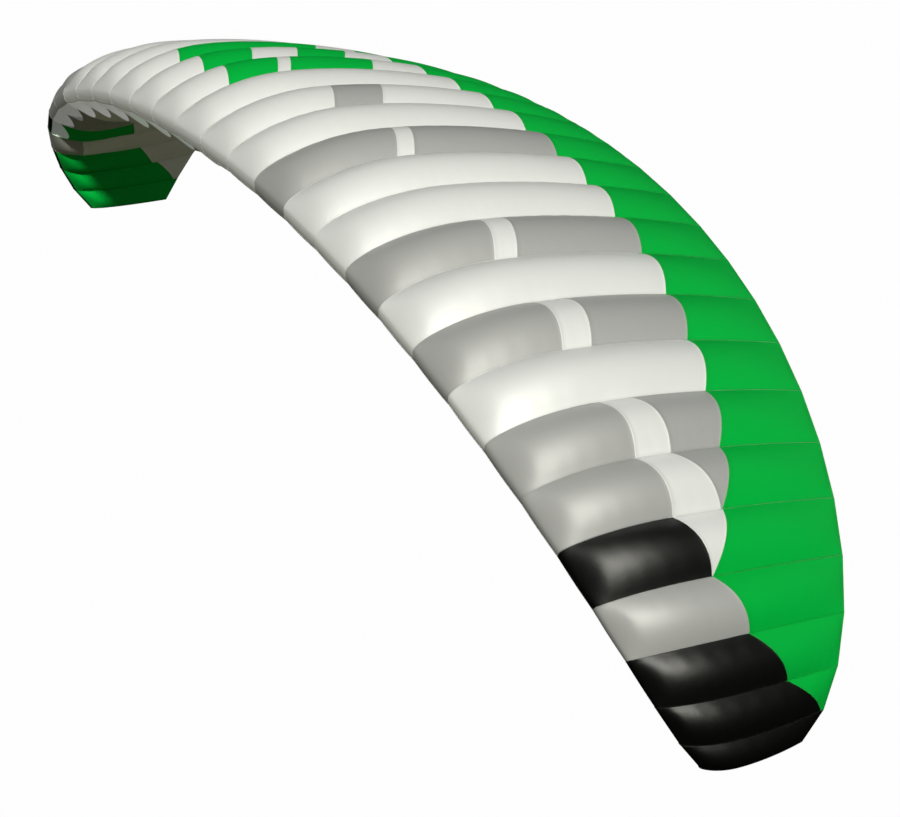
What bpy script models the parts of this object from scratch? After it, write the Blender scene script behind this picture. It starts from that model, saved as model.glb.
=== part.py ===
"""Paraglider wing, inflated in its flying arc, without its suspension lines.

The wing is a row of cloth cells along an arc. Each cell is one strip of cloth that wraps from the
lower surface round the trailing edge, over the top and down over the nose. The flat cloth ribs
between the cells give the wing its section, and a closing panel ends it at each tip. The middle
cells stop short under the nose, which leaves an air intake at the front of each one. The cells
near the tips are closed all round.

Frame: +X along the span, -Y towards the leading edge, +Z up, in metres. The origin is on the
lower surface of the centre rib, a quarter of the chord back.
"""

import bpy
import bmesh
import numpy as np
from mathutils import Vector

# The arc, from the centre rib (station 0) to a tip (station 1).
CELLS = 30
CLOSED_CELLS = 4          # at each tip, with no intake
HALF_SPAN = 5.5           # along the arc
NARROWING = (0.27, 0.37)  # how cells narrow outwards, on station squared and to the fourth
LEAN = (31.7, 27.9, 44.4)  # degrees that a rib leans out, on station, its cube and its fifth power
ARC_STEPS = 600

# The outline seen from above, along the chord.
ROOT_CHORD = 2.64
FRONT_SWEEP = (0.10, 0.91, -0.19)   # how far the nose falls back, on powers 2, 4 and 8
REAR_SWEEP = (-1.58, 0.52, -0.07)   # how far the trailing edge moves, on powers 2, 4 and 8
REFERENCE = 0.25          # part of the chord in front of the origin

# The section, as parts of the chord.
CAMBER = 0.042
CAMBER_PEAK = 0.3
UPPER_FULLNESS = 0.112
LOWER_FULLNESS = 0.25
HEM = 0.010               # metres between the two skins at the trailing edge

# The air intake, as parts of the chord on the lower side of the nose.
INTAKE_TOP = 0.010
INTAKE_BOTTOM = 0.045     # at the ribs
INTAKE_ARCH = 0.035       # how much further back the lower lip runs in the middle of a cell

# How full the air makes the cloth.
CELL_BULGE = 0.21         # of a cell's width, where the section is thickest
NOSE_TAUT = (0.06, 0.16)  # chord fraction in which the bulge grows, on the upper and lower side
LOWER_CALM = (0.16, 0.42)  # between these chord fractions the lower side's bulge calms down
LOWER_REST = 0.4          # the share of the bulge that is left behind them
TIP_BULGE = 0.12          # of the closing panel's height

# The cloth.
SKIN = 0.0015
RIB = 0.0015
GAP = 0.0003
SKEW_ROOM = 1.4           # extra room, in cloth thicknesses, where a cell meets its rib at a slant

# The facets: chord fractions of the rows of points, and strips across a cell.
UPPER_ROWS = (1.0, 0.85, 0.68, 0.50, 0.33, 0.18, 0.08, 0.025, 0.0)
LOWER_ROWS = (INTAKE_TOP, INTAKE_BOTTOM, 0.12, 0.22, 0.32, 0.45, 0.72, 1.0)
STRIPS = 3
TIP_ROWS = (0.0, 0.025, 0.08, 0.18, 0.33, 0.50, 0.72, 1.0)
TIP_STRIPS = 4

WHITE = (0.80, 0.80, 0.76)
GREY = (0.36, 0.36, 0.34)
BLACK = (0.012, 0.012, 0.012)
# The cloth at each cell's nose, from the +X tip to the -X tip.
NOSE_CLOTHS = "KKKGKGGWGWGWWGWWWWWWWWWGGKGKKK"


def clear_scene():
    for item in list(bpy.data.objects):
        bpy.data.objects.remove(item, do_unlink=True)


def cloth_material(name, colour):
    material = bpy.data.materials.new(name)
    material.use_nodes = True
    shader = material.node_tree.nodes["Principled BSDF"]
    shader.inputs["Base Color"].default_value = (*colour, 1.0)
    shader.inputs["Roughness"].default_value = 0.55
    shader.inputs["Metallic"].default_value = 0.0
    material.diffuse_color = (*colour, 1.0)
    return material


def powers(station, factors, exponents):
    size = abs(station)
    return sum(factor * size**power for factor, power in zip(factors, exponents))


def lean(station):
    """The angle in radians from +Z to the rib's own up direction, towards +X on the +X side."""
    return np.sign(station) * np.radians(powers(station, LEAN, (1, 3, 5)))


def arc_table():
    """Places along the arc of the reference line: stations, x and z, from the centre to a tip."""
    stations = np.linspace(0.0, 1.0, ARC_STEPS + 1)
    middles = (stations[1:] + stations[:-1]) / 2
    widths = 1 - powers(middles, NARROWING, (2, 4))
    widths *= HALF_SPAN / widths.sum()
    angles = np.radians(powers(middles, LEAN, (1, 3, 5)))
    x = np.concatenate([[0.0], np.cumsum(widths * np.cos(angles))])
    z = np.concatenate([[0.0], np.cumsum(-widths * np.sin(angles))])
    return stations, x, z


ARC = arc_table()


def arc_place(station):
    stations, x, z = ARC
    size = abs(station)
    return Vector((np.sign(station) * np.interp(size, stations, x), 0.0, np.interp(size, stations, z)))


def rib_up(station):
    angle = lean(station)
    return Vector((np.sin(angle), 0.0, np.cos(angle)))


def rib_across(station):
    """The direction square to the rib, towards +X."""
    angle = lean(station)
    return Vector((np.cos(angle), 0.0, -np.sin(angle)))


def front(station):
    return -REFERENCE * ROOT_CHORD + powers(station, FRONT_SWEEP, (2, 4, 8))


def rear(station):
    return (1 - REFERENCE) * ROOT_CHORD + powers(station, REAR_SWEEP, (2, 4, 8))


def thickness(u):
    """Half thickness of the section at chord fraction u, for a fullness of 1."""
    return 5 * (0.2969 * u**0.5 - 0.126 * u - 0.3516 * u**2 + 0.2843 * u**3 - 0.1036 * u**4)


def camber(u):
    peak = CAMBER_PEAK
    if u < peak:
        return CAMBER * (2 * peak * u - u * u) / peak**2
    return CAMBER * (1 - 2 * peak + 2 * peak * u - u * u) / (1 - peak) ** 2


def section_height(u, side, chord):
    """Height above the chord line: side is 1 on the upper surface and -1 on the lower."""
    fullness = UPPER_FULLNESS if side > 0 else LOWER_FULLNESS
    return chord * (camber(u) + side * fullness * thickness(u)) + side * u * HEM / 2


# The arc runs through the chord lines, so all of it is lifted to put the origin on the skin.
LIFT = -section_height(REFERENCE, -1, ROOT_CHORD)


def rib_point(station, u, side):
    chord = rear(station) - front(station)
    place = arc_place(station) + rib_up(station) * section_height(u, side, chord)
    return place + Vector((0.0, front(station) + u * chord, LIFT))


def fullness_at(u, side):
    """How much of a cell's bulge shows at chord fraction u: none at the nose and trailing edge."""
    grown = min(u / NOSE_TAUT[0 if side > 0 else 1], 1.0)
    full = grown * (2 - grown) * (max(thickness(u), 0.0) / 0.5) ** 0.5
    if side > 0:
        return full
    start, end = LOWER_CALM
    calmed = min(max((u - start) / (end - start), 0.0), 1.0)
    return full * (1 - (1 - LOWER_REST) * calmed**2 * (3 - 2 * calmed))


def seam_station(seam):
    return 1 - 2 * seam / CELLS


def has_rib(seam):
    return CLOSED_CELLS <= seam <= CELLS - CLOSED_CELLS


def seam_room(seam, slant):
    """How far a cell's edge stays from the middle of its seam, where it meets it at that slant."""
    plain = RIB / 2 + GAP if has_rib(seam) or seam in (0, CELLS) else GAP / 2
    return plain + SKEW_ROOM * SKIN * slant


def cell_point(cell, across, u, side):
    """A point of cell's skin: across runs from 0 at its -X edge to 1 at its +X edge."""
    outer, inner = seam_station(cell - 1), seam_station(cell)
    start, end = rib_point(inner, u, side), rib_point(outer, u, side)
    along = (end - start).normalized()
    width = (end - start).length
    start += rib_across(inner) * seam_room(cell, along.cross(rib_across(inner)).length)
    end -= rib_across(outer) * seam_room(cell - 1, along.cross(rib_across(outer)).length)
    bulge = CELL_BULGE * width * fullness_at(u, side) * 4 * across * (1 - across)
    return start.lerp(end, across) + rib_up((outer + inner) / 2) * (side * bulge)


def object_from_grid(name, rows, closed, material, collection, offset):
    """A sheet of cloth through rows of points, given a thickness by Solidify."""
    shell = bmesh.new()
    points = [[shell.verts.new(point) for point in row] for row in rows]
    pairs = list(zip(points, points[1:]))
    if closed:
        pairs.append((points[-1], points[0]))
    for row, following in pairs:
        for j in range(len(row) - 1):
            shell.faces.new((row[j], following[j], following[j + 1], row[j + 1]))
    bmesh.ops.remove_doubles(shell, verts=shell.verts, dist=1e-6)
    mesh = bpy.data.meshes.new(name)
    shell.to_mesh(mesh)
    shell.free()
    mesh.materials.append(material)
    mesh.shade_smooth()
    item = bpy.data.objects.new(name, mesh)
    collection.objects.link(item)
    cloth = item.modifiers.new("cloth", "SOLIDIFY")
    cloth.thickness = SKIN
    cloth.offset = offset
    cloth.use_even_offset = True
    return item


def cell_rows(cell):
    """Rows of points round a cell, from under its nose to the trailing edge and back over the top."""
    is_closed = cell <= CLOSED_CELLS or cell > CELLS - CLOSED_CELLS
    route = [(u, -1) for u in LOWER_ROWS if is_closed or u >= INTAKE_BOTTOM]
    route += [(u, 1) for u in UPPER_ROWS]
    if not is_closed:
        route.append((INTAKE_TOP, -1))
    rows = []
    for u, side in route:
        arch = INTAKE_ARCH if side < 0 and u == INTAKE_BOTTOM else 0.0
        steps = np.linspace(0.0, 1.0, STRIPS + 1)
        rows.append([cell_point(cell, v, u + arch * 4 * v * (1 - v), side) for v in steps])
    return rows, is_closed


def make_cell(cell, material, collection):
    rows, is_closed = cell_rows(cell)
    return object_from_grid(f"cell_{cell:02d}", rows, is_closed, material, collection, -1.0)


def make_rib(seam, material, collection):
    """A flat rib: the outline of the section, filled, with the cloth's thickness."""
    station = seam_station(seam)
    route = [(u, 1) for u in UPPER_ROWS] + [(u, -1) for u in LOWER_ROWS]
    outline = bmesh.new()
    corners = [outline.verts.new(rib_point(station, u, side)) for u, side in route]
    outline.faces.new(corners)
    mesh = bpy.data.meshes.new(f"rib_{seam:02d}")
    outline.to_mesh(mesh)
    outline.free()
    mesh.materials.append(material)
    item = bpy.data.objects.new(f"rib_{seam:02d}", mesh)
    collection.objects.link(item)
    cloth = item.modifiers.new("cloth", "SOLIDIFY")
    cloth.thickness = RIB
    cloth.offset = 0.0
    return item


def make_tip_panel(name, seam, material, collection):
    """The closing panel, which the air pushes out a little between its upper and lower edge."""
    station = seam_station(seam)
    outwards = rib_across(station) * np.sign(station)
    rows = []
    for u in TIP_ROWS:
        top, bottom = rib_point(station, u, 1), rib_point(station, u, -1)
        row = []
        for v in np.linspace(0.0, 1.0, TIP_STRIPS + 1):
            bulge = TIP_BULGE * (top - bottom).length * 4 * v * (1 - v)
            row.append(top.lerp(bottom, v) + outwards * (bulge - RIB / 2))
        rows.append(row[::-1] if station > 0 else row)
    return object_from_grid(name, rows, False, material, collection, 1.0)


def main():
    clear_scene()
    wing = bpy.data.collections.new("paraglider_wing")
    bpy.context.scene.collection.children.link(wing)
    cloths = {
        "W": cloth_material("white_cloth", WHITE),
        "G": cloth_material("grey_cloth", GREY),
        "K": cloth_material("black_cloth", BLACK),
    }
    rib_cloth = cloth_material("rib_cloth", WHITE)
    for cell in range(1, CELLS + 1):
        make_cell(cell, cloths[NOSE_CLOTHS[cell - 1]], wing)
    for seam in range(CELLS + 1):
        if has_rib(seam):
            make_rib(seam, rib_cloth, wing)
    make_tip_panel("tip_panel_right", 0, cloths["K"], wing)
    make_tip_panel("tip_panel_left", CELLS, cloths["K"], wing)


main()
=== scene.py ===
# %% [markdown]
# # A paraglider wing, sewn cell by cell
#
# A paraglider wing is a bag of very thin nylon cloth that the wind fills. It is cut as thirty
# long narrow cells that lie side by side. Between two cells stands a flat cloth rib, and the
# rib's outline gives the wing its section. Air comes in through a slot under the nose of each
# middle cell, and goes through to the closed cells at the tips.
#
# We could model such a wing as one smooth surface and draw the seams on it. Here each cell is its
# own sheet of cloth instead, because that is how the real one is cut, and because the soft valleys
# between the cells then come by themselves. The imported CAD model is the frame: it says where the
# wing is and how big it is, and every sheet below lies on it.

import math

import bmesh
import bpy
import numpy as np
from mathutils import Matrix, Vector


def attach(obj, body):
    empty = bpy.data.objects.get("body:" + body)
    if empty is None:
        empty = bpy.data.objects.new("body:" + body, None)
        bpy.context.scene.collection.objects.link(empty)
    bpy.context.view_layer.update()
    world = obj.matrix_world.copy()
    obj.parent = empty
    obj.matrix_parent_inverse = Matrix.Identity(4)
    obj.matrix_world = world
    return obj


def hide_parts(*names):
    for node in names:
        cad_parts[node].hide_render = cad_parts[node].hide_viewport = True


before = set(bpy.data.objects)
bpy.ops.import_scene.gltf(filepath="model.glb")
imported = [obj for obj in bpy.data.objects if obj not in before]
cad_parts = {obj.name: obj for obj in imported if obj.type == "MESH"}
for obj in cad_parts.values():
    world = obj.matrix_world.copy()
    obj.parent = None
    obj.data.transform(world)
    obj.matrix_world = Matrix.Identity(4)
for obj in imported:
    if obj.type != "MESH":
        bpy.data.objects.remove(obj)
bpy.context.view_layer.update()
print("nodes in the frame:", len(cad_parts))

# %% [markdown]
# ## The wing's sizes
#
# The wing needs only a few sizes, because it follows rules. A station runs from 0 at the middle to
# 1 at the +X tip and -1 at the -X tip. From the station come the place on the arc, the lean of the
# rib and both ends of its chord. These are the same sizes that the frame was made with, so that
# the fine cloth lies exactly on it.

# %% The wing's sizes, in metres, degrees and parts of the chord
CELLS = 30
CLOSED_CELLS = 4
HALF_SPAN = 5.5
NARROWING = (0.27, 0.37)
LEAN = (31.7, 27.9, 44.4)
ARC_STEPS = 600
ROOT_CHORD = 2.64
REFERENCE = 0.25
FRONT_SWEEP = (0.10, 0.91, -0.19)
REAR_SWEEP = (-1.58, 0.52, -0.07)
CAMBER = 0.042
CAMBER_PEAK = 0.3
UPPER_FULLNESS = 0.112
LOWER_FULLNESS = 0.25
HEM = 0.010
INTAKE_TOP = 0.010
INTAKE_BOTTOM = 0.045
INTAKE_ARCH = 0.035
CELL_BULGE = 0.21
NOSE_TAUT = (0.06, 0.16)
LOWER_CALM = (0.16, 0.42)
LOWER_REST = 0.4
TIP_BULGE = 0.12
RIB = 0.0015
GAP = 0.0003
SEAM_ROOM = 0.0021
CLOTH = 0.0008
print("a cell in the middle is about", round(2 * HALF_SPAN / CELLS * 1.2, 2), "m wide")

# %% [markdown]
# ## From a station to a rib
#
# Numpy works on whole rows of points at once. Each helper takes an array of chord fractions, which
# saves a loop over the many thousand points of the cloth. The section is a standard aerofoil: a
# camber line, and a thickness above and below it.


# %% Helpers for the arc and the section
def powers(station, factors, exponents):
    return sum(factor * abs(station) ** power for factor, power in zip(factors, exponents))


def lean(station):
    return np.sign(station) * np.radians(powers(station, LEAN, (1, 3, 5)))


def rib_up(station):
    return np.array((np.sin(lean(station)), 0.0, np.cos(lean(station))))


def rib_across(station):
    return np.array((np.cos(lean(station)), 0.0, -np.sin(lean(station))))


def front(station):
    return -REFERENCE * ROOT_CHORD + powers(station, FRONT_SWEEP, (2, 4, 8))


def rear(station):
    return (1 - REFERENCE) * ROOT_CHORD + powers(station, REAR_SWEEP, (2, 4, 8))


def chord_at(station):
    return rear(station) - front(station)


def thickness(u):
    return 5 * (0.2969 * u**0.5 - 0.126 * u - 0.3516 * u**2 + 0.2843 * u**3 - 0.1036 * u**4)


def camber(u):
    peak = CAMBER_PEAK
    ahead = (2 * peak * u - u * u) / peak**2
    behind = (1 - 2 * peak + 2 * peak * u - u * u) / (1 - peak) ** 2
    return CAMBER * np.where(u < peak, ahead, behind)


def section_height(u, side, chord):
    fullness = UPPER_FULLNESS if side > 0 else LOWER_FULLNESS
    return chord * (camber(u) + side * fullness * thickness(u)) + side * u * HEM / 2


def seam_station(seam):
    return 1 - 2 * seam / CELLS


def arch(share):
    """0 at both ends, 1 in the middle, and a parabola between them."""
    return 4 * share * (1 - share)


LIFT = -section_height(np.float64(REFERENCE), -1, ROOT_CHORD)
print("chord in the middle and at a tip:", chord_at(0), round(chord_at(1), 3))


# %% The arc, and a line of points along a rib
def arc_table():
    stations = np.linspace(0.0, 1.0, ARC_STEPS + 1)
    middles = (stations[1:] + stations[:-1]) / 2
    widths = 1 - powers(middles, NARROWING, (2, 4))
    widths *= HALF_SPAN / widths.sum()
    angles = np.radians(powers(middles, LEAN, (1, 3, 5)))
    x = np.concatenate([[0.0], np.cumsum(widths * np.cos(angles))])
    z = np.concatenate([[0.0], np.cumsum(-widths * np.sin(angles))])
    return stations, x, z


ARC = arc_table()


def arc_place(station):
    stations, x, z = ARC
    size = abs(station)
    sideways = np.sign(station) * np.interp(size, stations, x)
    return np.array((sideways, 0.0, np.interp(size, stations, z)))


def rib_line(station, u, side):
    """Points on the edge of a rib: side is 1 on top and -1 below, u the chord fraction."""
    u = np.asarray(u, float)
    height = section_height(u, side, chord_at(station))
    points = arc_place(station) + height[..., None] * rib_up(station)
    points[..., 1] += front(station) + u * chord_at(station)
    points[..., 2] += LIFT
    return points


print("nose of the middle rib:", rib_line(0.0, 0.0, 1).round(3))

# %% [markdown]
# ## How the air fills a cell
#
# A cell is a flat strip of cloth held along its two long edges by the ribs. The air pushes its
# middle out, more where the section is thick, and hardly at the nose and at the trailing edge,
# where the cloth is taut. Where cloth is sewn along a curved edge it also gathers into many small
# puckers, which die away a few centimetres from the seam. Cloth simulation could find all of this,
# but the sum below gives the same shape in no time and is the same on each run.


# %% The filled surface of a cell
def is_closed(cell):
    return cell <= CLOSED_CELLS or cell > CELLS - CLOSED_CELLS


def has_rib(seam):
    return CLOSED_CELLS <= seam <= CELLS - CLOSED_CELLS


def seam_room(seam, slant):
    held = has_rib(seam) or seam in (0, CELLS)
    return (RIB / 2 + GAP if held else GAP / 2) + SEAM_ROOM * slant


def fullness_at(u, side):
    grown = np.minimum(u / NOSE_TAUT[0 if side > 0 else 1], 1.0)
    full = grown * (2 - grown) * (np.maximum(thickness(u), 0.0) / 0.5) ** 0.5
    if side > 0:
        return full
    start, end = LOWER_CALM
    calmed = np.clip((u - start) / (end - start), 0.0, 1.0)
    return full * (1 - (1 - LOWER_REST) * calmed**2 * (3 - 2 * calmed))


PUCKER = 0.0011
PUCKER_LENGTH = 0.115
PUCKER_REACH = 0.045
TAUT_ENDS = (0.05, 0.02)  # chord fractions where the puckers die out, at the nose and the hem


def puckers(cell, across, u, width):
    """Small gathers next to both seams of a cell, each seam with its own rhythm."""
    chord = chord_at(seam_station(cell - 0.5))
    run = u * chord
    total = 0.0
    for seam, edge in ((cell, across * width), (cell - 1, (1 - across) * width)):
        rhythm = run / PUCKER_LENGTH + 0.35 * np.sin(run * (5.1 + 0.17 * seam)) + 0.37 * seam
        reach = edge / PUCKER_REACH
        total = total + np.sin(2 * np.pi * rhythm) * np.exp(-reach) * reach
    ends = np.minimum(u / TAUT_ENDS[0], 1.0) * np.minimum((1 - u) / TAUT_ENDS[1], 1.0)
    return PUCKER * np.e * total * ends


def cell_surface(cell, across, u, side):
    """Points of a cell's cloth: across runs from 0 at its -X edge to 1 at its +X edge."""
    across, u = np.broadcast_arrays(np.asarray(across, float), np.asarray(u, float))
    outer, inner = seam_station(cell - 1), seam_station(cell)
    start, end = rib_line(inner, u, side), rib_line(outer, u, side)
    width = np.linalg.norm(end - start, axis=-1)
    along = (end - start) / width[..., None]
    slant_in = np.linalg.norm(np.cross(along, rib_across(inner)), axis=-1)
    slant_out = np.linalg.norm(np.cross(along, rib_across(outer)), axis=-1)
    start = start + rib_across(inner) * seam_room(cell, slant_in)[..., None]
    end = end - rib_across(outer) * seam_room(cell - 1, slant_out)[..., None]
    lift = CELL_BULGE * width * fullness_at(u, side) * arch(across)
    lift = lift + puckers(cell, across, u, width)
    middle = rib_up((outer + inner) / 2)
    return start + (end - start) * across[..., None] + (side * lift)[..., None] * middle


def cell_width(cell, u=0.3, side=1):
    ends = rib_line(seam_station(cell - 1), u, side) - rib_line(seam_station(cell), u, side)
    return float(np.linalg.norm(ends))


print("widths of cells 1, 5, 10 and 15:", [round(cell_width(cell), 3) for cell in (1, 5, 10, 15)])

# %% [markdown]
# ## The cutting plan
#
# The pattern on the wing isn't printed. It is patchwork: each cell is joined from pieces of white,
# grey, black and green cloth, one behind the other. A letter stands for each cloth: W white,
# S silver grey, K black and G green. Each patch ends at a chord fraction at the cell's -X seam and
# at its +X seam, and on top its edge bows back a little between them. The green at the rear starts
# on one long curve across the whole wing, so that curve has a list of its own. On a closed cell the
# front patch wraps a little round the nose.

# %% The patches on the upper side
GREEN_FROM = (0.990, 0.974, 0.665, 0.491, 0.408, 0.536, 0.614, 0.655, 0.685, 0.708, 0.724, 0.735)
GREEN_FROM += (0.743, 0.748, 0.750, 0.751)
GREEN_FROM += GREEN_FROM[-2::-1]
NOSE_CLOTHS = "KKKSKSSWSWSWWSWWWWWWWWWSSKSKKK"
UPPER_BANDS = {
    5: "K 0.350 0.405  W",
    6: "S 0.324 0.350  W 0.443 0.531  S",
    7: "S 0.309 0.324  W 0.413 0.443  S",
    9: "S 0.300 0.300  W 0.394 0.385  S",
    11: "S 0.315 0.295  W 0.381 0.358  S",
    14: "S 0.332 0.292  W 0.376 0.339  S",
    16: "W 0.330 0.288  S 0.475 0.423  W",
    18: "W 0.180 0.153  G 0.348 0.291  W 0.386 0.328  G 0.635 0.572  W",
    19: "W 0.179 0.157  G 0.352 0.297  W 0.495 0.433  G 0.654 0.577  W",
    20: "W 0.194 0.156  G 0.654 0.580  W",
    26: "K 0.405 0.350  W",
}
PATCH_BOW = 0.06
NOSE_WRAP = 0.014
print("cells with bands of their own:", sorted(UPPER_BANDS))


# %% The patches on the lower side
LOWER_FRONTS = {
    1: "G 1.000 1.000",
    2: "G 0.712 0.951  W",
    3: "G 0.529 0.673  W",
    4: "S 0.160 0.160  W",
    5: "G 0.377 0.434  W",
    6: "S 0.335 0.395  W",
    7: "S 0.335 0.395  W",
    24: "S 0.395 0.335  W",
    25: "S 0.395 0.335  W",
    26: "G 0.434 0.377  W",
    27: "S 0.160 0.160  W",
    28: "G 0.673 0.529  W",
    29: "G 0.951 0.712  W",
    30: "G 1.000 1.000",
}


def patches_of(cell, side):
    """A list of (letter, end at the -X seam, end at the +X seam), from the nose to the rear."""
    letter = NOSE_CLOTHS[cell - 1]
    if side < 0:
        words = LOWER_FRONTS.get(cell, "W" if letter == "W" else f"{letter} 0.380 0.380  W").split()
        last = (1.0, 1.0)
    else:
        words = UPPER_BANDS.get(cell, letter).split()
        last = (GREEN_FROM[cell], GREEN_FROM[cell - 1])
    found = [(letter, NOSE_WRAP, NOSE_WRAP)] if side < 0 and is_closed(cell) else []
    while words:
        cloth = words.pop(0)
        ends = (float(words.pop(0)), float(words.pop(0))) if words else last
        found.append((cloth, *ends))
    if side > 0 and cell in (1, CELLS):
        return [("K", 1.0, 1.0)]
    if side > 0:
        found.append(("G", 1.0, 1.0))
    return found


print("patches on the upper side:", sum(len(patches_of(cell, 1)) for cell in range(1, CELLS + 1)))

# %% [markdown]
# ## From patches to rows of points
#
# The mesh of a cell is a grid. Its rows follow the patch edges, so that each face has one cloth
# and the joins are crisp. The rows lie close together round the nose, where the cloth turns
# quickly. Behind each join the cloth is double for a finger's width, because the two patches are
# folded into each other there, so a few rows step out by half a millimetre.

# %% Rows from the nose to the trailing edge
STRIPS = 14
ACROSS = np.linspace(0.0, 1.0, STRIPS + 1)
ROW_STEP = 0.030
NOSE_STEP = 0.024
JOIN_WIDTH = 0.010
JOIN_STEP = 0.0012
JOIN_LIFT = 0.0005


def bottom_lip(across):
    """Chord fraction of the lower lip of an intake."""
    return INTAKE_BOTTOM + INTAKE_ARCH * arch(across)


def patch_edge(cell, ends, side):
    """Chord fraction of a patch's rear edge, across the cell. Only the upper ones bow."""
    chord = chord_at(seam_station(cell - 0.5))
    bow = PATCH_BOW * cell_width(cell) / chord if side > 0 and ends[0] < 1 else 0.0
    return ends[0] + (ends[1] - ends[0]) * ACROSS + bow * arch(ACROSS)


def nose_spacing(count):
    t = np.linspace(0.0, 1.0, count + 1)
    return 5 * t * t / (1 + 4 * t)


def side_rows(cell, side, first):
    """Rows of (chord fractions, lift, letter of the patch behind the row), from front to rear."""
    chord = chord_at(seam_station(cell - 0.5))
    rows = []
    start = first
    for number, (letter, *ends) in enumerate(patches_of(cell, side)):
        end = patch_edge(cell, ends, side)
        length = (end - start) * chord
        count = max(3, int(np.ceil(length.max() / (ROW_STEP if number else NOSE_STEP))))
        from_nose = number == 0 and first.min() == 0
        spacing = nose_spacing(count) if from_nose else np.linspace(0.0, 1.0, count + 1)
        if number:
            double = np.minimum(JOIN_WIDTH / np.maximum(length, 1e-6), 0.40)
            step = np.minimum(JOIN_STEP / np.maximum(length, 1e-6), 0.05)
            rows += [(start, 0.0, letter), (start + (end - start) * step, JOIN_LIFT, letter)]
            rows.append((start + (end - start) * double, JOIN_LIFT, letter))
            start = start + (end - start) * (double + step)
        rows += [(start + (end - start) * t, 0.0, letter) for t in spacing[:-1]]
        start = end
    rows.append((start, 0.0, rows[-1][2]))
    return rows


print("rows on the upper side of cell 18:", len(side_rows(18, 1, np.zeros(STRIPS + 1))))


# %% The whole route round a cell
HEM_TURN = 4
LIP_STEPS = (0.35, 0.62, 0.82, 1.0)


def cell_grid(cell):
    """Points (rows, columns, 3) round a cell, each row's letter, and where its cloth is double."""
    closed = is_closed(cell)
    lower = side_rows(cell, -1, np.zeros(STRIPS + 1) if closed else bottom_lip(ACROSS))
    upper = side_rows(cell, 1, np.zeros(STRIPS + 1))
    up = rib_up(seam_station(cell - 0.5))
    grid, letters, lifts = [], [], []
    for u, lift, letter in lower:
        grid.append(cell_surface(cell, ACROSS, u, -1) - lift * up)
        letters.append(letter)
        lifts.append(lift)
    top, bottom = cell_surface(cell, ACROSS, 1.0, 1), cell_surface(cell, ACROSS, 1.0, -1)
    letters[-1] = upper[-1][2]
    for k in range(1, HEM_TURN):
        angle = math.pi * k / HEM_TURN
        turn = (top + bottom) / 2 + (bottom - top) / 2 * math.cos(angle)
        turn[:, 1] += HEM / 2 * math.sin(angle)
        grid.append(turn)
        letters.append(upper[-1][2])
        lifts.append(0.0)
    for k in range(len(upper) - 1, -1, -1):
        u, lift, _ = upper[k]
        grid.append(cell_surface(cell, ACROSS, u, 1) + lift * up)
        letters.append(upper[max(k - 1, 0)][2])
        lifts.append(lift)
    if closed:
        for row_list in (grid, letters, lifts):
            row_list.pop()
    else:
        for t in LIP_STEPS:
            grid.append(cell_surface(cell, ACROSS, np.full(STRIPS + 1, INTAKE_TOP * t * t), -1))
            letters.append(upper[0][2])
            lifts.append(0.0)
    return np.array(grid), letters, np.array(lifts) > 0


test_grid, _, _ = cell_grid(15)
print("points in the grid of cell 15:", test_grid.shape[0] * test_grid.shape[1])

# %% [markdown]
# ## From rows of points to a mesh
#
# One helper turns any grid of points into a mesh with a UV map. The map is in real metres, across
# the cloth and along it, so the weave has the same size on each cell however it is bent. Two
# attributes tell the cloth where it is sewn: how far the nearest long seam is, and whether the
# cloth is double there. The thickness comes last, from a Solidify modifier.

# %% A grid of points becomes a sheet
CLOTH_LETTERS = {}


def lengths_along(grid, wrap):
    """Running length down the middle column, with one more entry where the grid is a ring."""
    middle = grid[:, grid.shape[1] // 2]
    if wrap:
        middle = np.vstack([middle, middle[:1]])
    steps = np.linalg.norm(np.diff(middle, axis=0), axis=1)
    return np.concatenate([[0.0], np.cumsum(steps)])


def close_tube(mesh):
    """Merges the doubled line of a tube and caps its open ends."""
    shell = bmesh.new()
    shell.from_mesh(mesh)
    bmesh.ops.remove_doubles(shell, verts=shell.verts, dist=1e-6)
    rims = [edge for edge in shell.edges if edge.is_boundary]
    bmesh.ops.holes_fill(shell, edges=rims, sides=12)
    bmesh.ops.recalc_face_normals(shell, faces=shell.faces)
    shell.to_mesh(mesh)
    shell.free()


def link_object(name, data):
    made = bpy.data.objects.new(name, data)
    bpy.context.scene.collection.objects.link(made)
    return made


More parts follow.
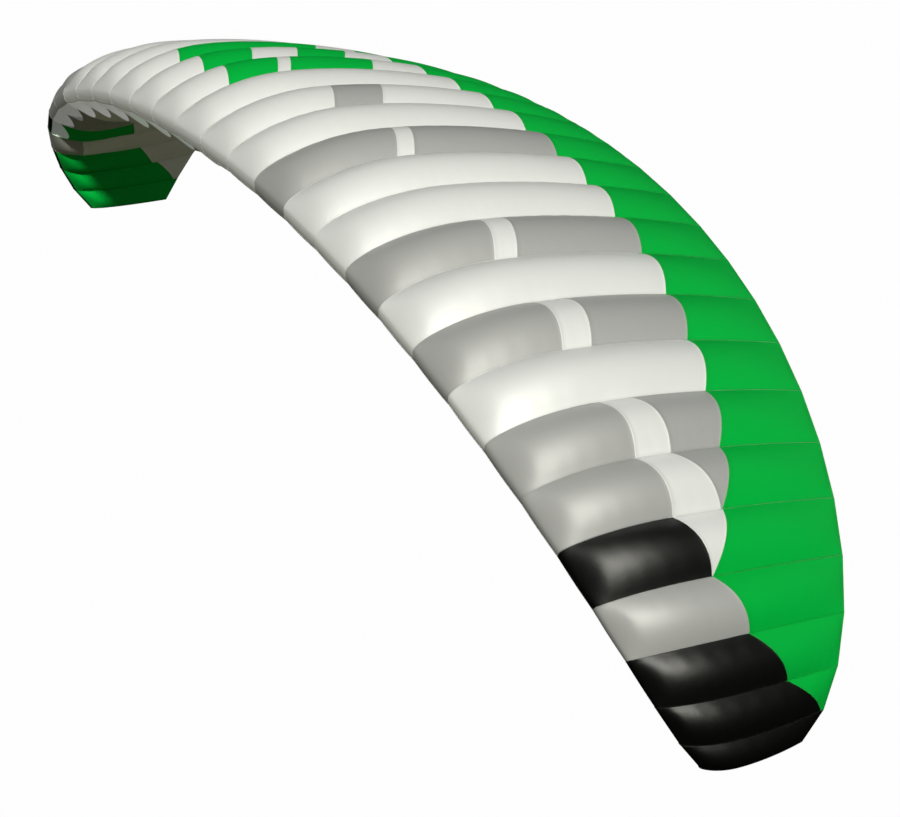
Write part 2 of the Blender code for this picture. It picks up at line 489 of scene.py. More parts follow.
def sheet_object(name, grid, letters, wrap=False, seam_distance=1.0, fold=0.0, tube=False):
    """A mesh from a grid of points, with the letter of the cloth of each row of faces."""
    rows, columns = grid.shape[:2]
    top = np.arange(rows if wrap else rows - 1)
    r, c = (index.ravel() for index in np.meshgrid(top, np.arange(columns - 1), indexing="ij"))
    corners_r = np.stack([r, r + 1, r + 1, r], axis=1)
    corners_c = np.stack([c, c, c + 1, c + 1], axis=1)
    faces = (corners_r % rows) * columns + corners_c
    mesh = bpy.data.meshes.new(name)
    mesh.from_pydata(grid.reshape(-1, 3).tolist(), [], faces.tolist())
    gaps = np.linalg.norm(np.diff(grid, axis=1), axis=2)
    across = np.concatenate([np.zeros((rows, 1)), np.cumsum(gaps, axis=1)], axis=1)
    across -= across[:, -1:] / 2
    along = lengths_along(grid, wrap)
    uv = np.stack([across[corners_r % rows, corners_c], along[corners_r]], axis=-1)
    mesh.uv_layers.new(name="cloth").data.foreach_set("uv", uv.astype(np.float32).ravel())
    used = sorted(set(letters))
    for letter in used:
        mesh.materials.append(CLOTH_LETTERS[letter])
    per_row = np.array([used.index(letter) for letter in letters])
    mesh.polygons.foreach_set("material_index", per_row[r].astype(np.int32))
    for label, values in (("seam_distance", seam_distance), ("fold", fold)):
        layer = mesh.attributes.new(label, "FLOAT", "POINT")
        per_point = np.broadcast_to(np.asarray(values, np.float32), (rows, columns))
        layer.data.foreach_set("value", per_point.ravel())
    if tube:
        close_tube(mesh)
    mesh.shade_smooth()
    edge_of_corner = np.empty(len(mesh.loops), np.int32)
    mesh.loops.foreach_get("edge_index", edge_of_corner)
    border = np.bincount(edge_of_corner, minlength=len(mesh.edges)) == 1
    mesh.attributes.new("sharp_edge", "BOOLEAN", "EDGE").data.foreach_set("value", border)
    mesh.update()
    return link_object(name, mesh)


def thicken(piece, amount, offset=-1.0):
    cloth = piece.modifiers.new("thickness", "SOLIDIFY")
    cloth.thickness = amount
    cloth.offset = offset
    cloth.use_even_offset = True
    return piece


def grid_area(grid, wrap):
    points = np.concatenate([grid, grid[:1]]) if wrap else grid
    one = points[1:, :-1] - points[:-1, :-1]
    other = points[:-1, 1:] - points[:-1, :-1]
    return float(np.linalg.norm(np.cross(one, other), axis=-1).sum())


print("helpers for sheets are ready")

# %% [markdown]
# ## Shader sums in plain Python
#
# A material is a graph of nodes, and a sum of three terms already takes a handful of them. The
# class below wraps one socket and overloads the arithmetic signs, so that a formula reads as a
# formula and its Math nodes are added by themselves. All other nodes come from one method.


# %% A socket that can be added and multiplied
class Wire:
    def __init__(self, finish, socket):
        self.finish = finish
        self.socket = socket

    def math(self, operation, *others):
        values = dict(enumerate((self, *others)))
        return self.finish.node("ShaderNodeMath", {"operation": operation}, values)

    def __add__(self, other):
        return self.math("ADD", other)

    def __mul__(self, other):
        return self.math("MULTIPLY", other)

    def __sub__(self, other):
        return self.math("SUBTRACT", other)

    def __truediv__(self, other):
        return self.math("DIVIDE", other)

    def __rsub__(self, other):
        return self.finish.node("ShaderNodeMath", {"operation": "SUBTRACT"}, {0: other, 1: self})

    __radd__ = __add__
    __rmul__ = __mul__

    def near(self, width):
        """1 where the value is 0, falling smoothly to 0 at the width."""
        ends = {0: self, 1: 0.0, 2: width, 3: 1.0, 4: 0.0}
        return self.finish.node("ShaderNodeMapRange", {"interpolation_type": "SMOOTHSTEP"}, ends)


class Finish:
    """A material under construction."""

    def __init__(self, name, colour, roughness):
        self.material = bpy.data.materials.new(name)
        self.material.use_nodes = True
        self.material.diffuse_color = (*colour, 1.0)
        self.tree = self.material.node_tree
        self.shader = self.tree.nodes["Principled BSDF"]
        self.set("Base Color", (*colour, 1.0))
        self.set("Roughness", roughness)

    def set(self, socket, value):
        self.feed(self.shader.inputs[socket], value)

    def feed(self, socket, value):
        if isinstance(value, Wire):
            self.tree.links.new(value.socket, socket)
        else:
            socket.default_value = value

    def node(self, kind, settings=None, sockets=None, out=0):
        made = self.tree.nodes.new(kind)
        for key, value in (settings or {}).items():
            setattr(made, key, value)
        for key, value in (sockets or {}).items():
            self.feed(made.inputs[key], value)
        return Wire(self, made.outputs[out])

    def attribute(self, label):
        return self.node("ShaderNodeAttribute", {"attribute_name": label}, out="Fac")

    def noise(self, scale, detail=2.0):
        place = self.node("ShaderNodeTexCoord", out="Object")
        sockets = {"Vector": place, "Scale": scale, "Detail": detail}
        return self.node("ShaderNodeTexNoise", {}, sockets)

    def tint(self, factor, first, second):
        sockets = {0: factor, 6: first, 7: second}
        return self.node("ShaderNodeMix", {"data_type": "RGBA"}, sockets, out=2)

    def bump(self, height, depth, below=None):
        sockets = {"Strength": 1.0, "Distance": depth, "Height": height}
        if below is not None:
            sockets["Normal"] = below
        return self.node("ShaderNodeBump", {}, sockets)


print("shader helpers are ready")

# %% [markdown]
# ## Ripstop cloth
#
# Wing cloth is ripstop nylon with a thin coat on it. A thicker thread runs every five millimetres
# both ways and stops a tear. The coat gives it a dull gloss, so the light forms a broad soft patch
# on each cell. We build it in three layers: the grid of thick threads from the UV map, a fine
# crumple from noise, and a slight change of tone from place to place. Along the seams and joins
# the cloth is double, and looks a little deeper in colour there. At the very line of each seam the
# colour darkens further: that is painted shade, for the shadow at the bottom of the valley. Inside
# the wing some daylight comes through the cloth. A faint glow of the ribs and of the inner faces
# stands for it.

# %% The ripstop finish
GRID_PITCH = 0.005
GRID_THREAD = 0.00035
WEAVE = 5200.0       # radians per metre
ALLOWANCE = (0.006, 0.007)  # where the double cloth at a seam ends, and how softly
# how far from a seam the painted seam shade reaches
PAINTED_SHADE_REACH = 0.004
INSIDE_GLOW = 0.11


def shade(colour, factor):
    return tuple(min(channel * factor, 1.0) for channel in colour) + (1.0,)


def ripstop(name, colour, roughness, gloss, deeper=0.86, glow=0.0):
    f = Finish(name, colour, roughness)
    cloth = f.node("ShaderNodeUVMap", {"uv_map": "cloth"})
    x = f.node("ShaderNodeSeparateXYZ", {}, {0: cloth})
    y = Wire(f, x.socket.node.outputs["Y"])
    thread_x = x.math("PINGPONG", GRID_PITCH / 2).near(GRID_THREAD)
    thread_y = y.math("PINGPONG", GRID_PITCH / 2).near(GRID_THREAD)
    grid = thread_x.math("MAXIMUM", thread_y)
    weave = (x * WEAVE).math("SINE") * (y * WEAVE).math("SINE")
    blotch = f.noise(2.3, 3.0)
    crumple = f.noise(26.0, 4.0)
    edge = f.attribute("seam_distance")
    allowance = (edge - ALLOWANCE[0]).math("MAXIMUM", 0.0).near(ALLOWANCE[1])
    # painted shade: a mask that is 1 on the seam line itself, mixed below into the Base Color as a
    # darker tone
    painted_seam_shade = edge.near(PAINTED_SHADE_REACH)
    doubled = allowance.math("MAXIMUM", f.attribute("fold"))
    mottled = f.tint(blotch, shade(colour, 0.975), shade(colour, 1.02))
    threaded = f.tint(grid * 0.30, mottled, shade(colour, 0.90))
    sewn = f.tint(doubled * 0.45, threaded, shade(colour, deeper))
    f.set("Base Color", f.tint(painted_seam_shade * 0.15, sewn, shade(colour, deeper * 0.72)))
    f.set("Roughness", roughness + 0.05 * (crumple - 0.5) + 0.03 * grid)
    fine = f.bump(grid * 0.8 + weave * 0.12, 0.00008)
    soft = f.bump(crumple + 0.6 * blotch, 0.0006, fine)
    f.set("Normal", f.bump(doubled, 0.0003, soft))
    f.set("Specular IOR Level", gloss)
    f.set("Emission Color", (*colour, 1.0))
    f.set("Emission Strength", glow)
    return f.material


WHITE = (0.75, 0.755, 0.74)
GREY = (0.376, 0.378, 0.369)
BLACK = (0.0012, 0.0012, 0.0012)
GREEN = (0.0003, 0.412, 0.047)
RIB_WHITE = (0.78, 0.78, 0.75)
CLOTH_LETTERS.update(
    W=ripstop("white_ripstop", WHITE, 0.45, 1.0),
    S=ripstop("silver_grey_ripstop", GREY, 0.45, 0.85),
    K=ripstop("black_ripstop", BLACK, 0.42, 0.76, deeper=0.8),
    G=ripstop("green_ripstop", GREEN, 0.55, 0.05),
    R=ripstop("rib_ripstop", RIB_WHITE, 0.55, 0.35, glow=INSIDE_GLOW),
    w=ripstop("white_ripstop_inside", WHITE, 0.55, 0.35, glow=INSIDE_GLOW),
    s=ripstop("silver_grey_ripstop_inside", GREY, 0.55, 0.35, glow=INSIDE_GLOW),
    k=ripstop("black_ripstop_inside", BLACK, 0.55, 0.35),
    g=ripstop("green_ripstop_inside", GREEN, 0.55, 0.05, glow=INSIDE_GLOW),
)
print("cloths:", [material.name for material in CLOTH_LETTERS.values()])

# %% [markdown]
# ## The cells
#
# Now each cell is made from its grid. A closed cell is a ring of cloth. A middle cell starts and
# ends at the lips of its intake. The faces on the inside get the second half of the cell's
# materials, which glow a little.

# %% Sew the thirty cells
SLOTS = {
    "W": "white_cloth",
    "S": "grey_cloth",
    "K": "black_cloth",
    "G": "green_cloth",
    "R": "rib_cloth",
}
cells, cell_flats = {}, {}
for cell in range(1, CELLS + 1):
    grid, letters, double = cell_grid(cell)
    width = np.linalg.norm(np.diff(grid, axis=1), axis=2).sum(axis=1)
    share = np.minimum(ACROSS, 1 - ACROSS)
    distance = width[:, None] * share[None, :]
    closed = is_closed(cell)
    sheet = sheet_object(f"cell_{cell:02d}_cloth", grid, letters, closed, distance, double[:, None])
    cells[cell] = thicken(sheet, CLOTH)
    for letter in sorted(set(letters)):
        sheet.data.materials.append(CLOTH_LETTERS[letter.lower()])
    sheet.modifiers["thickness"].material_offset = len(set(letters))
    length = lengths_along(grid, closed)[-1]
    cell_flats[cell] = (float(width.max()), float(length), grid_area(grid, closed))
print("triangles in cell 15:", 4 * len(cells[15].data.polygons))
print("flat size of cell 15:", [round(x, 3) for x in cell_flats[15]])

# %% [markdown]
# ## The ribs
#
# A rib is cut flat and stays flat, because the air pushes as hard on one side as on the other. It
# shows only through the intakes. A grid from its lower edge to its upper edge is enough.

# %% Stand the ribs between the cells
RIB_ROWS = 44
RIB_COLUMNS = 7
RIB_MARGIN = 0.004   # part of the height left free at each edge
NOSE_START = 0.0004  # chord fraction where a rib starts, so that it has a height there
ribs = {}
for seam in range(CLOSED_CELLS, CELLS - CLOSED_CELLS + 1):
    station = seam_station(seam)
    u = np.maximum(nose_spacing(RIB_ROWS), NOSE_START)
    upper_edge, lower_edge = rib_line(station, u, 1), rib_line(station, u, -1)
    share = np.linspace(RIB_MARGIN, 1 - RIB_MARGIN, RIB_COLUMNS)[:, None]
    grid = lower_edge[:, None, :] * (1 - share) + upper_edge[:, None, :] * share
    high = np.linalg.norm(upper_edge - lower_edge, axis=1)
    distance = high[:, None] * np.minimum(share, 1 - share)[:, 0]
    rib = sheet_object(f"rib_{seam:02d}_cloth", grid, ["R"] * (RIB_ROWS + 1), False, distance)
    ribs[seam] = thicken(rib, RIB, 0.0)
    float(chord_at(station))
    grid_area(grid, False)

# %% [markdown]
# ## The closing panels at the tips
#
# A leaf-shaped panel closes each tip. The air pushes it outwards between its upper and its lower
# edge. Its upper half is black, as the cells above it are, and its lower half green.


# %% Close the two tips
def tip_grid(station, rows=40, columns=12):
    outwards = rib_across(station) * np.sign(station)
    u = np.maximum(nose_spacing(rows), NOSE_START)
    upper_edge, lower_edge = rib_line(station, u, 1), rib_line(station, u, -1)
    share = np.linspace(0.0, 1.0, columns + 1)[None, :, None]
    share = share if station < 0 else share[:, ::-1]
    high = np.linalg.norm(upper_edge - lower_edge, axis=1)[:, None, None]
    bulge = TIP_BULGE * high * arch(share) - RIB / 2
    grid = upper_edge[:, None, :] * (1 - share) + lower_edge[:, None, :] * share + bulge * outwards
    return grid.transpose(1, 0, 2)[:, ::-1]


tips, tip_flats = {}, {}
for name, seam in (("tip_panel_right", 0), ("tip_panel_left", CELLS)):
    grid = tip_grid(seam_station(seam))
    column_width = np.linalg.norm(np.diff(grid, axis=0), axis=2).sum(axis=0)
    share = np.linspace(0.0, 1.0, len(grid))
    distance = np.minimum(share, 1 - share)[:, None] * column_width[None, :]
    halves = "KG" if seam else "GK"
    letters = [halves[int(k >= len(grid) // 2)] for k in range(len(grid))]
    tips[name] = thicken(sheet_object(f"{name}_cloth", grid, letters, False, distance), CLOTH, 1.0)
    tip_flats[name] = (float(column_width.max()), float(chord_at(1)), grid_area(grid, False))
print("tip panels:", sorted(tips))

# %% [markdown]
# ## The rolled seams
#
# Where two cells meet, the edges of both and of the rib are turned in and sewn, and a thin roll of
# cloth fills the bottom of the valley. It is a hexagonal tube that follows the edge of the rib
# round the section. Its cloth changes where the patches of the neighbouring cell change.

# %% Run a roll of cloth along each seam
ROLL = 0.0010       # radius
ROLL_SUNK = 0.8     # how deep it sits in the valley, in radii
ROLL_STEPS = 54


def letter_at(seam, u, side):
    cell = max(seam, 1)
    for letter, end_inner, end_outer in patches_of(cell, side):
        if u <= (end_inner if seam else end_outer):
            return letter
    return letter


def seam_route(seam):
    """(u, side) all round a seam, and whether it is a ring."""
    ring = not CLOSED_CELLS < seam < CELLS - CLOSED_CELLS
    along = nose_spacing(ROLL_STEPS)
    lower = [(u, -1) for u in along if ring or u > INTAKE_BOTTOM]
    if not ring:
        lower = [(INTAKE_BOTTOM, -1)] + lower
    upper = [(u, 1) for u in along[::-1]]
    front_end = [] if ring else [(INTAKE_TOP * t * t, -1) for t in (0.5, 0.8, 1.0)]
    return lower + (upper[:-1] if ring else upper) + front_end, ring


def roll_grid(seam):
    route, ring = seam_route(seam)
    station = seam_station(seam)
    line = np.array([rib_line(station, np.float64(u), side) for u, side in route])
    ahead = np.roll(line, -1, axis=0) - np.roll(line, 1, axis=0)
    if not ring:
        ahead[0], ahead[-1] = line[1] - line[0], line[-1] - line[-2]
    ahead /= np.linalg.norm(ahead, axis=1)[:, None]
    sideways = rib_across(station)
    out = np.cross(sideways, ahead)
    angles = np.linspace(0.0, 2 * np.pi, 7)
    circle = np.cos(angles)[:, None] * sideways + np.sin(angles)[:, None] * out[:, None, :]
    letters = [letter_at(seam, u, side) for u, side in route]
    return (line - ROLL_SUNK * ROLL * out)[:, None, :] + ROLL * circle, letters, ring


rolls = {}
for seam in range(CELLS + 1):
    grid, letters, ring = roll_grid(seam)
    # a seam distance of 0 gives each roll the deeper tone of double cloth and the full painted seam
    # shade
    rolls[seam] = sheet_object(f"seam_roll_{seam:02d}", grid, letters, ring, 0.0, tube=True)
print("rolls:", len(rolls))

# %% [markdown]
# ## The bound lips of the intakes
#
# The two lips of an intake carry the load of the incoming air, so their raw edge is wrapped in a
# folded tape. Each tape is a flat tube that follows its lip from rib to rib and holds the cloth
# between its two layers.

# %% Bind the lips
TAPE = 0.0008
TAPE_WIDTH = 0.016
TOWARDS_NOSE = 0.72  # of the upper lip's chord fraction, which gives the tape its direction


def outward(cell, across, u, side):
    """The direction that points away from the cloth, found from two small steps on its surface."""
    small = 1e-4
    du = cell_surface(cell, across, u + small, side) - cell_surface(cell, across, u - small, side)
    dv = cell_surface(cell, across + small, u, side) - cell_surface(cell, across - small, u, side)
    normal = np.cross(dv, du) * side
    return normal / np.linalg.norm(normal, axis=-1, keepdims=True)


def binding_grid(cell, lip, inner):
    """A tape between two lines: lines of points round it, the last repeating the first."""
    edge, back = cell_surface(cell, ACROSS, lip, -1), cell_surface(cell, ACROSS, inner, -1)
    edge_out, back_out = outward(cell, ACROSS, lip, -1), outward(cell, ACROSS, inner, -1)
    ahead = edge - back
    ahead /= np.linalg.norm(ahead, axis=1)[:, None]
    back = edge - ahead * TAPE_WIDTH
    lines = [
        back + back_out * TAPE,
        edge + edge_out * TAPE,
        edge + ahead * TAPE * 1.6 - edge_out * CLOTH / 2,
        edge - edge_out * (CLOTH + TAPE),
        back - back_out * (CLOTH + TAPE),
        back + back_out * TAPE,
    ]
    return np.stack(lines, axis=1)


bindings = {}
for cell in range(CLOSED_CELLS + 1, CELLS - CLOSED_CELLS + 1):
    chord = chord_at(seam_station(cell - 0.5))
    lower_lip = bottom_lip(ACROSS)
    upper_lip = np.full(STRIPS + 1, INTAKE_TOP)
    letters = {"lower": patches_of(cell, -1)[0][0], "upper": patches_of(cell, 1)[0][0]}
    grids = {
        "lower": binding_grid(cell, lower_lip, lower_lip + TAPE_WIDTH / chord),
        "upper": binding_grid(cell, upper_lip, upper_lip * TOWARDS_NOSE),
    }
    for which, grid in grids.items():
        name = f"intake_{which}_binding_{cell:02d}"
        bindings[name] = sheet_object(name, grid, [letters[which]] * len(grid), tube=True)
        bindings[name].data.shade_flat()
print("bindings:", len(bindings))

# %% [markdown]
# ## Thousands of stitches with Geometry Nodes
#
# A row of stitches is one small shape, repeated at an even pitch along a line. That is what
# Geometry Nodes are good at: the tree below takes lines, sets points along them at the pitch, puts
# a stitch on each point, turned along the line and away from the cloth, and makes the result real
# geometry. We only have to say where the lines run: two along each patch join, one on each side of
# a long seam, one along the lower lip of each intake, and one round the hem.

# %% The thread
def thread_finish():
    f = Finish("sewing_thread", (0.70, 0.70, 0.67), 0.55)
    dye = f.node("ShaderNodeAttribute", {"attribute_name": "dye"}, out="Color")
    tuft = f.noise(900.0, 2.0)
    f.set("Base Color", f.tint(0.10 + 0.25 * tuft, dye, (0.30, 0.31, 0.30, 1.0)))
    f.set("Normal", f.bump(tuft, 0.0001))
    f.set("Sheen Weight", 0.2)
    return f.material


THREAD = thread_finish()
print("thread:", THREAD.name)


# %% The tree that sews
def sewing_tree():
    tree = bpy.data.node_groups.new("sew_stitches", "GeometryNodeTree")
    tree.interface.new_socket("Lines", in_out="INPUT", socket_type="NodeSocketGeometry")
    for label in ("Pitch", "Stitch length", "Thread width"):
        tree.interface.new_socket(label, in_out="INPUT", socket_type="NodeSocketFloat")
    tree.interface.new_socket("Thread", in_out="INPUT", socket_type="NodeSocketMaterial")
    tree.interface.new_socket("Stitches", in_out="OUTPUT", socket_type="NodeSocketGeometry")

    def add(kind, sockets=None, **settings):
        made = tree.nodes.new(kind)
        for key, value in settings.items():
            setattr(made, key, value)
        for key, value in (sockets or {}).items():
            if isinstance(value, bpy.types.NodeSocket):
                tree.links.new(value, made.inputs[key])
            else:
                made.inputs[key].default_value = value
        return made

    given = add("NodeGroupInput").outputs
    lines = add("GeometryNodeMeshToCurve", {"Mesh": given["Lines"]})
    along = {0: lines.outputs[0], "Length": given["Pitch"]}
    points = add("GeometryNodeCurveToPoints", along, mode="LENGTH")
    away = add("GeometryNodeInputNamedAttribute", {"Name": "outwards"}, data_type="FLOAT_VECTOR")
    turn = add(
        "FunctionNodeAxesToRotation",
        {0: points.outputs["Tangent"], 1: away.outputs["Attribute"]},
        primary_axis="X",
        secondary_axis="Z",
    )
    thick = given["Thread width"]
    size = add("ShaderNodeCombineXYZ", {0: given["Stitch length"], 1: thick, 2: thick})
    bead = add("GeometryNodeMeshUVSphere", {"Segments": 4, "Rings": 2, "Radius": 0.5})
    sewn = add(
        "GeometryNodeInstanceOnPoints",
        {
            "Points": points.outputs["Points"],
            "Instance": bead.outputs["Mesh"],
            "Rotation": turn.outputs[0],
            "Scale": size.outputs[0],
        },
    )
    real = add("GeometryNodeRealizeInstances", {0: sewn.outputs[0]})
    thread = given["Thread"]
    dyed = add("GeometryNodeSetMaterial", {"Geometry": real.outputs[0], "Material": thread})
    add("NodeGroupOutput", {0: dyed.outputs[0]})
    return tree


SEWING = sewing_tree()
print("nodes in the sewing tree:", len(SEWING.nodes))


# %% Sew along a set of lines
DYES = {"W": WHITE, "S": GREY, "K": BLACK, "G": GREEN}


def sew(name, lines, pitch, length, width):
    """lines holds (points, directions away from the cloth, letter of the cloth at each point)."""
    points = np.concatenate([line for line, _, _ in lines])
    away = np.concatenate([direction for _, direction, _ in lines])
    dyes = np.array([DYES[letter] for _, _, letters in lines for letter in letters], np.float32)
    edges, start = [], 0
    for line, _, _ in lines:
        edges += [(k, k + 1) for k in range(start, start + len(line) - 1)]
        start += len(line)
    mesh = bpy.data.meshes.new(name + "_lines")
    mesh.from_pydata((points + away * width * 0.35).tolist(), edges, [])
    layer = mesh.attributes.new("outwards", "FLOAT_VECTOR", "POINT")
    layer.data.foreach_set("vector", away.astype(np.float32).ravel())
    dye = mesh.attributes.new("dye", "FLOAT_COLOR", "POINT")
    dye.data.foreach_set("color", np.column_stack([dyes, np.ones(len(dyes), np.float32)]).ravel())
    guide = link_object(name + "_guide", mesh)
    modifier = guide.modifiers.new("sewing", "NODES")
    modifier.node_group = SEWING
    sizes = {"Pitch": pitch, "Stitch length": length, "Thread width": width, "Thread": THREAD}
    for item in SEWING.interface.items_tree:
        if item.in_out == "INPUT" and item.name in sizes:
            modifier[item.identifier] = sizes[item.name]
    evaluated = guide.evaluated_get(bpy.context.evaluated_depsgraph_get())
    stitches = bpy.data.meshes.new_from_object(evaluated)
    stitches.name = name
    bpy.data.objects.remove(guide, do_unlink=True)
    print(name, "has", len(stitches.polygons), "faces")
    return link_object(name, stitches)


# %% The lines of stitches
def cloth_at(cell, across, u, side):
    for letter, end_inner, end_outer in patches_of(cell, side):
        if u <= end_inner + (end_outer - end_inner) * across:
            return letter
    return letter


def surface_line(cell, across, u, side, lift=0.0):
    across, u = np.broadcast_arrays(np.asarray(across, float), np.asarray(u, float))
    away = outward(cell, across, u, side)
    letters = [cloth_at(cell, a, b, side) for a, b in zip(across, u)]
    return cell_surface(cell, across, u, side) + lift * away, away, letters


FROM_SEAM = 0.0055
FROM_EDGE = 0.012
JOIN_ROWS = (0.0028, 0.0078)
seam_lines = {"right": [], "left": []}
join_lines, hem_lines, lip_lines = [], [], []
along_seam = np.clip(nose_spacing(60), 0.004, 0.999)
inside = np.linspace(0.012, 0.988, 2 * STRIPS)
for cell in range(1, CELLS + 1):
    half = "right" if cell <= CELLS // 2 else "left"
    chord = chord_at(seam_station(cell - 0.5))
    reach = FROM_SEAM / cell_width(cell)
    for edge in (reach, 1 - reach):
        seam_lines[half].append(surface_line(cell, edge, along_seam, 1))
    for side in (1, -1):
        for letter, end_inner, end_outer in patches_of(cell, side)[:-1]:
            edge = np.interp(inside, ACROSS, patch_edge(cell, (end_inner, end_outer), side))
            for step in JOIN_ROWS:
                join_lines.append(surface_line(cell, inside, edge + step / chord, side, JOIN_LIFT))
        hem_lines.append(surface_line(cell, inside, 1 - FROM_EDGE / chord, side))
    if not is_closed(cell):
        lip = bottom_lip(inside) + FROM_EDGE / chord
        lip_lines.append(surface_line(cell, inside, lip, -1, TAPE))
long_stitch, short_stitch = (0.0085, 0.0055, 0.0005), (0.0060, 0.0040, 0.0007)
stitches = [
    sew("seam_stitches_right", seam_lines["right"], *long_stitch),
    sew("seam_stitches_left", seam_lines["left"], *long_stitch),
    sew("patch_join_stitches", join_lines, *short_stitch),
    sew("hem_stitches", hem_lines, *short_stitch),
    sew("intake_stitches", lip_lines, *short_stitch),
]

# %% [markdown]
# ## Hand the pieces to the frame
#
# Each piece rides on the frame's one body, and the solid of the frame that it stands for is
# hidden. The wing has no joints, because cloth bends and doesn't turn on a pin.

def declare(piece, node, letter):
    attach(piece, "root")
    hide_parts(node)


for group in (rolls.values(), bindings.values()):
    for piece in group:
        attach(piece, "root")
for seam, piece in rolls.items():
    SLOTS[letter_at(seam, 0.05, 1)]
for name, piece in bindings.items():
    SLOTS[patches_of(int(name[-2:]), 1 if "upper" in name else -1)[0][0]]
for piece in stitches:
    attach(piece, "root")
for seam, piece in ribs.items():
    held_by = [cells[seam], cells[seam + 1]]
    declare(piece, f"rib_{seam:02d}", "R")
for name, piece in tips.items():
    cell = 1 if name == "tip_panel_right" else CELLS
    declare(piece, name, "K")
for cell, piece in cells.items():
    held_by = [ribs[seam] for seam in (cell - 1, cell) if seam in ribs]
    held_by = held_by or [cells[cell + 1 if cell == 1 else cell - 1]]
    tapes = [bindings[name] for name in sorted(bindings) if name.endswith(f"{cell:02d}")]
    sewn_on = [rolls[cell]] + tapes
    declare(piece, f"cell_{cell:02d}", NOSE_CLOTHS[cell - 1])
print("cells, ribs and tip panels declared:", len(cells) + len(ribs) + len(tips))

# %% [markdown]
# ## The studio
#
# The wing floats above a wide pale floor, as it would in the air. A small sun from above one tip
# draws the shadows. Two wide suns show only as reflections, and make the broad soft highlights of
# the coated cloth. Two weak suns and an even sky keep the shaded sides dark but readable. The
# floor and the round backdrop are pale to the eye only, so that they don't brighten the cloth from
# below.

# %% Floor and backdrop
FLOOR_HEIGHT = -5.0
STUDIO_RADIUS = 120.0
PALE = (1.0, 1.0, 1.0)


def pale_finish(name, colour, strength):
    f = Finish(name, colour, 0.9)
    mark = f.noise(0.35, 2.0)
    f.set("Base Color", (0.0, 0.0, 0.0, 1.0))
    f.set("Specular IOR Level", 0.0)
    f.set("Emission Color", f.tint(mark, shade(colour, 0.995), shade(colour, 1.0)))
    f.set("Emission Strength", strength)
    return f.material


def studio_object(name, shell, material):
    mesh = bpy.data.meshes.new(name)
    shell.to_mesh(mesh)
    shell.free()
    mesh.transform(Matrix.Translation((0.0, 0.0, FLOOR_HEIGHT)))
    mesh.materials.append(material)
    mesh.shade_smooth()
    made = link_object(name, mesh)
    made.visible_diffuse = False
    made.visible_glossy = False
    made.visible_transmission = False
    made.visible_shadow = False
    return made


disc = bmesh.new()
bmesh.ops.create_circle(disc, cap_ends=True, radius=STUDIO_RADIUS, segments=96)
floor = studio_object("studio_floor", disc, pale_finish("pale_floor", PALE, 0.99))
dome = bmesh.new()
bmesh.ops.create_uvsphere(dome, u_segments=64, v_segments=32, radius=STUDIO_RADIUS)
below_floor = [vertex for vertex in dome.verts if vertex.co.z < -STUDIO_RADIUS * 0.12]
bmesh.ops.delete(dome, geom=below_floor, context="VERTS")
backdrop = studio_object("studio_backdrop", dome, pale_finish("pale_backdrop", PALE, 1.0))
print("studio is", 2 * STUDIO_RADIUS, "m wide")

# %% Lights
def sun_light(name, comes_from, energy, angle, colour, diffuse=True, glossy=True):
    sun = bpy.data.lights.new(name, "SUN")
    sun.energy = energy
    sun.angle = math.radians(angle)
    sun.color = colour
    made = link_object(name, sun)
    made.rotation_euler = Vector(comes_from).to_track_quat("Z", "Y").to_euler()
    made.visible_diffuse, made.visible_glossy = diffuse, glossy


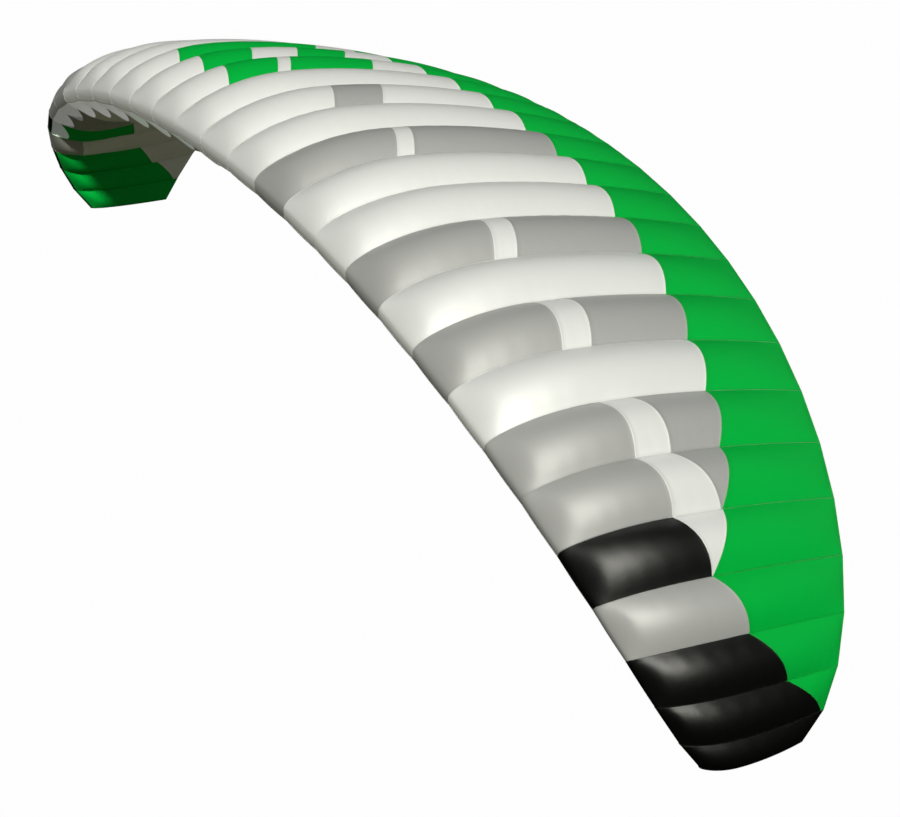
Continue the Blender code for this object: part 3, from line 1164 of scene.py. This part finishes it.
sun_light("key_light", (0.70, -0.36, 0.62), 3.2, 3, (1.0, 0.995, 0.93), glossy=False)
sun_light("key_highlight", (0.66, -0.35, 0.67), 3.0, 44, (1.0, 0.995, 0.90), diffuse=False)
sun_light("high_highlight", (0.34, -0.24, 0.90), 0.75, 40, (1.0, 0.995, 0.92), diffuse=False)
sun_light("rear_fill", (-0.15, 0.95, 0.25), 0.60, 60, (0.92, 0.98, 1.0), glossy=False)
sun_light("far_fill", (-0.70, -0.70, 0.15), 0.40, 60, (0.95, 0.98, 1.0), glossy=False)

LIGHT_BELOW = (0.80, 0.80, 0.46, 1.0)
LIGHT_ABOVE = (0.92, 0.97, 1.0, 1.0)
sky = bpy.data.worlds.new("even_sky")
sky.use_nodes = True
nodes, links = sky.node_tree.nodes, sky.node_tree.links
place, height = nodes.new("ShaderNodeTexCoord"), nodes.new("ShaderNodeSeparateXYZ")
share, tone = nodes.new("ShaderNodeMapRange"), nodes.new("ShaderNodeMix")
tone.data_type = "RGBA"
share.inputs["From Min"].default_value = -0.4
share.inputs["From Max"].default_value = 0.6
tone.inputs[6].default_value = LIGHT_BELOW
tone.inputs[7].default_value = LIGHT_ABOVE
links.new(place.outputs["Generated"], height.inputs[0])
links.new(height.outputs["Z"], share.inputs["Value"])
links.new(share.outputs["Result"], tone.inputs[0])
links.new(tone.outputs[2], nodes["Background"].inputs["Color"])
nodes["Background"].inputs["Strength"].default_value = 0.12
sky.cycles_visibility.glossy = False
bpy.context.scene.world = sky
bpy.context.scene.view_settings.view_transform = "Standard"

# %% [markdown]
# ## The camera
#
# The camera looks along the wing from outside one tip, from above and a little in front, with a
# long lens. Its direction is built from a turn, a tilt and a slight roll.

# %% Camera
CAMERA_PLACE = Vector((13.237, -6.573, 5.125))
TURN, TILT, CAMERA_ROLL = math.radians(59.764), math.radians(24.427), 0.0745
level = Vector((math.cos(TURN), math.sin(TURN), 0.0))
look = Vector((-math.sin(TURN) * math.cos(TILT), math.cos(TURN) * math.cos(TILT), -math.sin(TILT)))
above = level.cross(look)
right = math.cos(CAMERA_ROLL) * level + math.sin(CAMERA_ROLL) * above
upright = math.cos(CAMERA_ROLL) * above - math.sin(CAMERA_ROLL) * level
lens = bpy.data.cameras.new("camera")
lens.lens = 93.85
lens.sensor_width = 36.0
lens.clip_end = 1000.0
camera = link_object("camera", lens)
camera.matrix_world = Matrix((right, upright, -look)).transposed().to_4x4()
camera.location = CAMERA_PLACE
bpy.context.scene.camera = camera
print("camera looks along", tuple(round(x, 3) for x in look))
